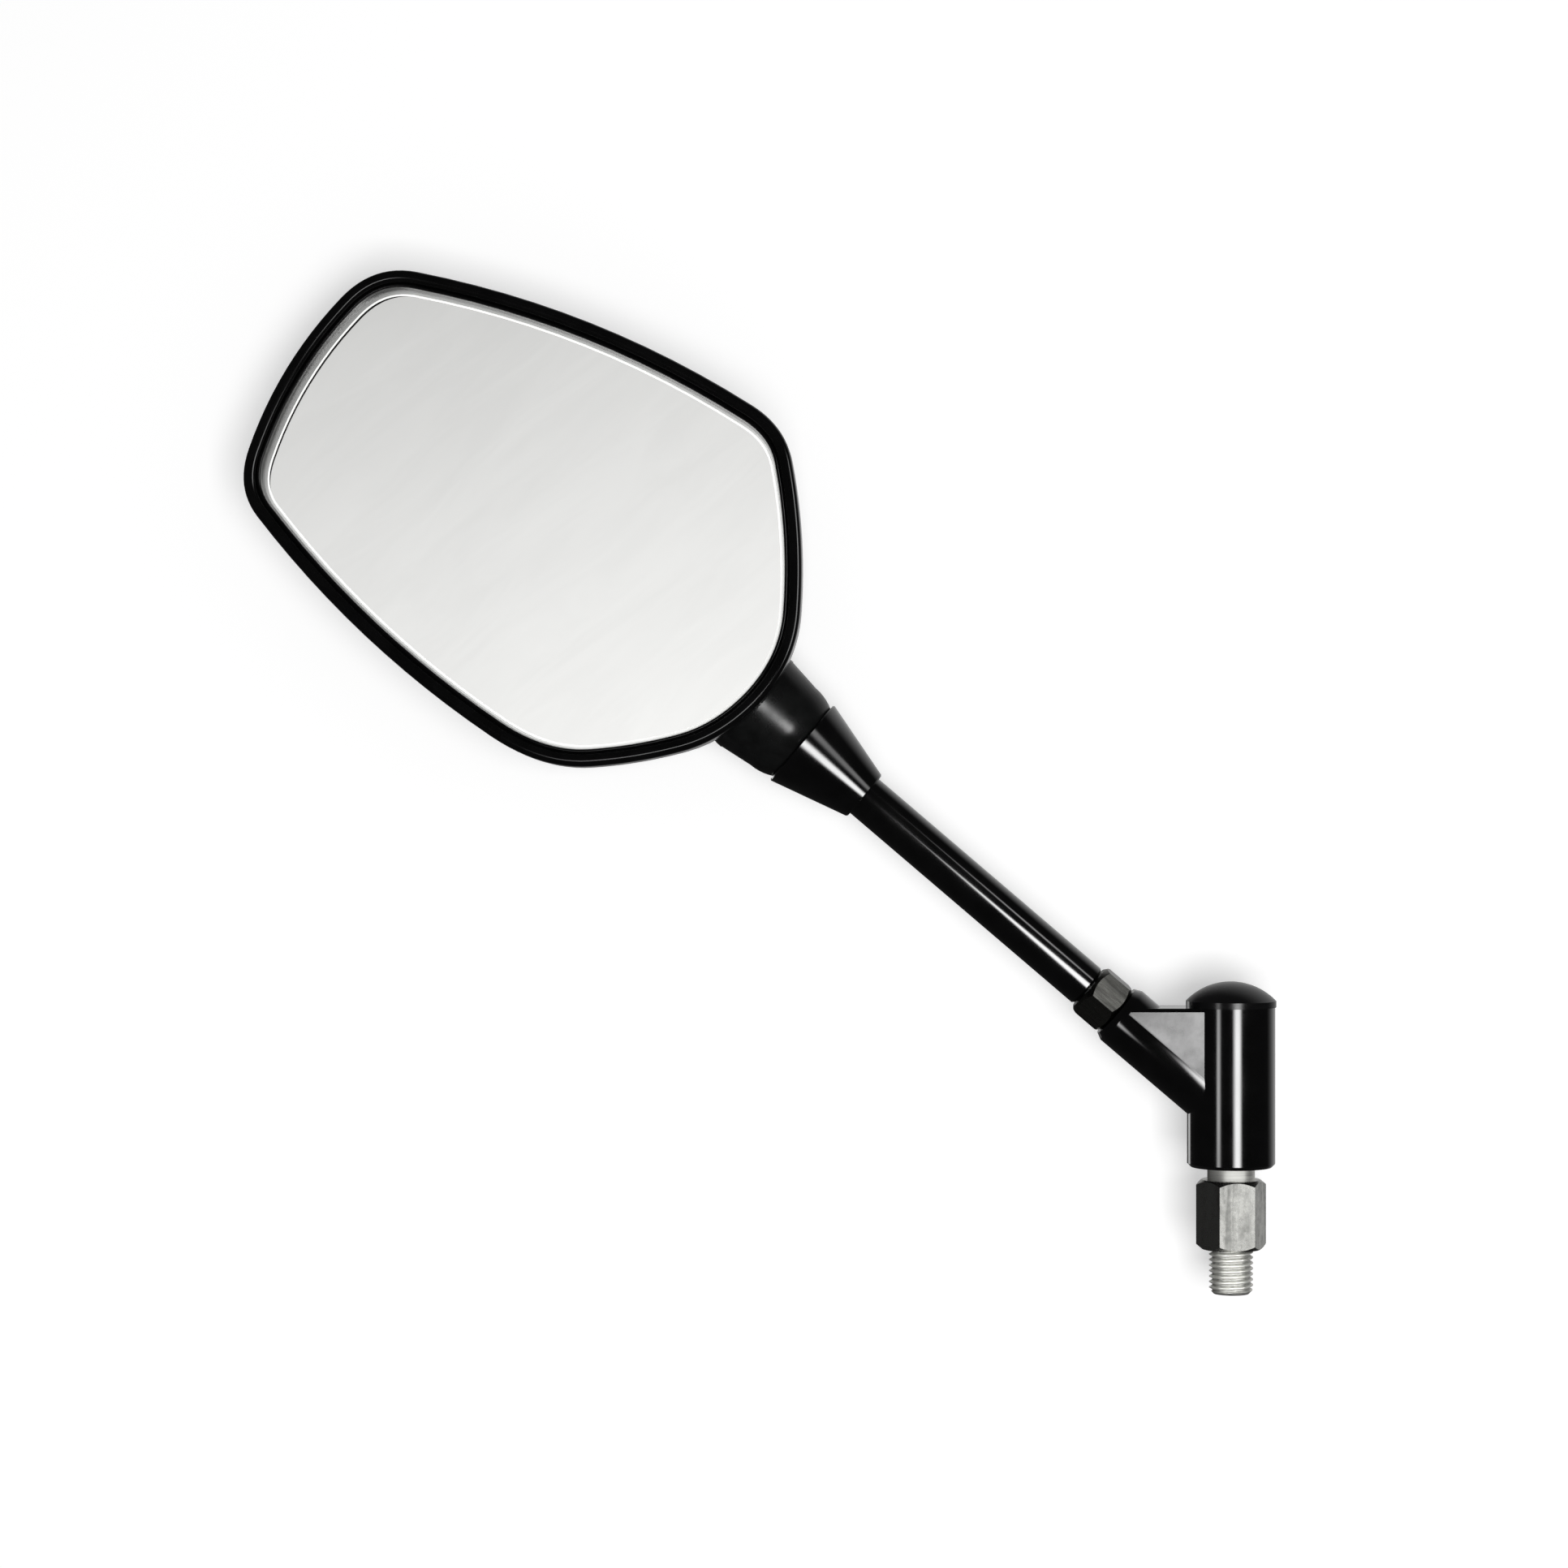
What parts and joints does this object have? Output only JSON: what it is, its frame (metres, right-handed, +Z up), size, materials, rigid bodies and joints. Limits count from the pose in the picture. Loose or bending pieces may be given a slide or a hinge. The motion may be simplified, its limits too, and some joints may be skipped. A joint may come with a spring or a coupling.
{
  "type": "motorcycle mirror",
  "caption": "Handlebar mirror with a bowed six-sided convex glass, ball joint, round stem and a cast arm that swivels on a hexagonal threaded stud.",
  "frame": {"origin": "on the stud axis, at the underside of the hex, where the mirror seats on its holder", "axes": "+Z up along the stud, +X to the right as the picture shows the mirror, so the head lies towards -X, and the glass faces -Y"},
  "size_m": [0.2337, 0.0461, 0.2317],
  "materials": {
    "zinc_plate": "bright",
    "bronze": "satin",
    "bare_steel": "satin",
    "dark_steel": "satin",
    "blue_nylon": "satin",
    "gloss_black_paint": "gloss",
    "satin_black_rubber": "satin",
    "gloss_black_plastic": "gloss",
    "satin_black_plastic": "satin",
    "natural_nylon": "satin",
    "black_foam": "matte",
    "silvered_glass": "polished"
  },
  "bodies": {
    "stud": {"pivot_stud": "zinc_plate", "disc_springs": "bare_steel", "flat_washer": "zinc_plate", "pivot_nut": "zinc_plate", "locking_ring": "blue_nylon"},
    "arm": {"base_arm": "gloss_black_paint", "thrust_washer": "bronze", "lower_bush": "bronze", "upper_bush": "bronze", "friction_washer": "bare_steel", "dome_cap": "satin_black_rubber", "lock_nut": "dark_steel", "stem": "gloss_black_paint", "joint_cover": "gloss_black_plastic"},
    "seat": {"ball_seat": "natural_nylon"},
    "cup": {"pressure_cup": "natural_nylon"},
    "head": {"housing": "satin_black_plastic", "foam_ring": "black_foam", "mirror_glass": "silvered_glass", "rim_trim": "gloss_black_plastic", "clamp_spring": "bare_steel", "retainer_plate": "zinc_plate", "retainer_screws": "zinc_plate"}
  },
  "joints": [
    {"name": "arm_swivel", "type": "hinge", "parent": "stud", "child": "arm", "pos_m": [0, 0, 0.0369], "axis": [0, 0, 1], "continuous": true},
    {"name": "head_twist", "type": "hinge", "parent": "arm", "child": "seat", "pos_m": [-0.10205, 0, 0.11896], "axis": [-0.7604, 0, 0.6494], "range_deg": [-30, 30]},
    {"name": "head_tilt", "type": "hinge", "parent": "seat", "child": "cup", "pos_m": [-0.10205, 0, 0.11896], "axis": [0.6494, 0, 0.7604], "range_deg": [-12, 12]},
    {"name": "head_raise", "type": "hinge", "parent": "cup", "child": "head", "pos_m": [-0.10205, 0, 0.11896], "axis": [0, 1, 0], "range_deg": [-12, 12]}
  ]
}
